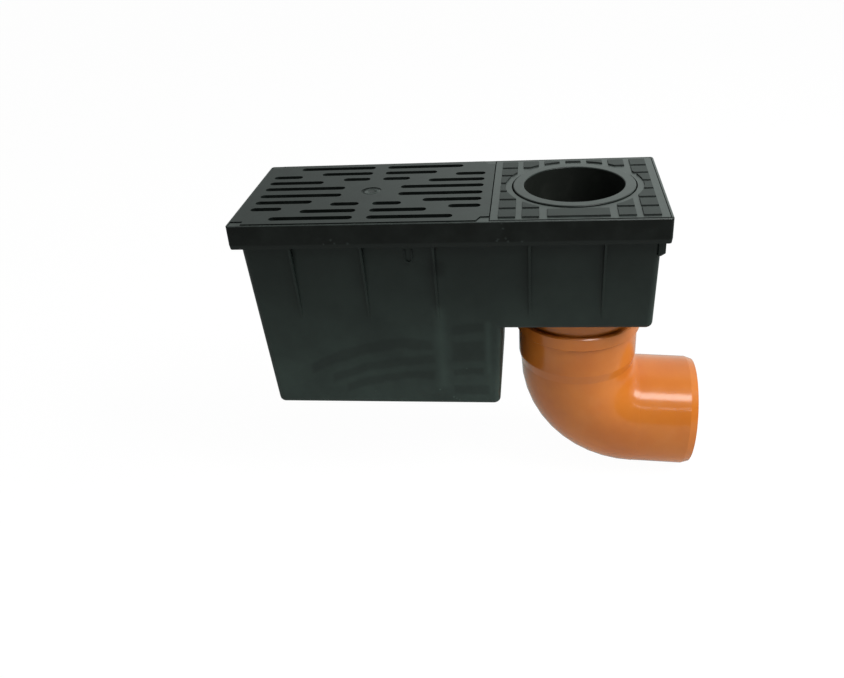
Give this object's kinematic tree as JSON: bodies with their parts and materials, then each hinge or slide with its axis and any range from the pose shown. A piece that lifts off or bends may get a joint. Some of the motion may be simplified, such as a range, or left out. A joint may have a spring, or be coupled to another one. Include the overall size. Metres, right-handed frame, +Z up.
{
  "type": "gully trap",
  "caption": "Gully trap for a downpipe: a box with a slotted grate, a padded cover with a pipe inlet ring, a leaf basket, a dip trap and a swivelling drain elbow.",
  "frame": {"origin": "on the axis of the downpipe inlet, at the top of the inlet ring", "axes": "+X from the grate towards the outlet, +Y to the back, +Z up out of the inlet"},
  "size_m": [0.4288, 0.158, 0.2997],
  "materials": {
    "gully_body": "satin black polypropylene",
    "slotted_grate": "satin black polypropylene, greyed by the sky",
    "cover_plate": "satin black polypropylene, greyed by the sky",
    "inlet_ring": "satin black polypropylene",
    "leaf_basket": "satin black polypropylene",
    "trap_insert": "satin black polypropylene",
    "outlet_stub": "glossy orange-brown drain pipe PVC",
    "outlet_seal": "black rubber",
    "elbow": "glossy orange-brown drain pipe PVC",
    "elbow_seal": "black rubber"
  },
  "bodies": {
    "gully": {"gully_body": "gully_body", "slotted_grate": "slotted_grate", "cover_plate": "cover_plate", "inlet_ring": "inlet_ring", "leaf_basket": "leaf_basket", "trap_insert": "trap_insert", "outlet_stub": "outlet_stub", "outlet_seal": "outlet_seal"},
    "elbow": {"elbow": "elbow", "elbow_seal": "elbow_seal"}
  },
  "joints": [
    {"name": "elbow_swivel", "type": "hinge", "parent": "gully", "child": "elbow", "pos_m": [0.006, -0.006, -0.145], "axis": [0, 0, 1], "range_deg": [-105, 105]}
  ]
}
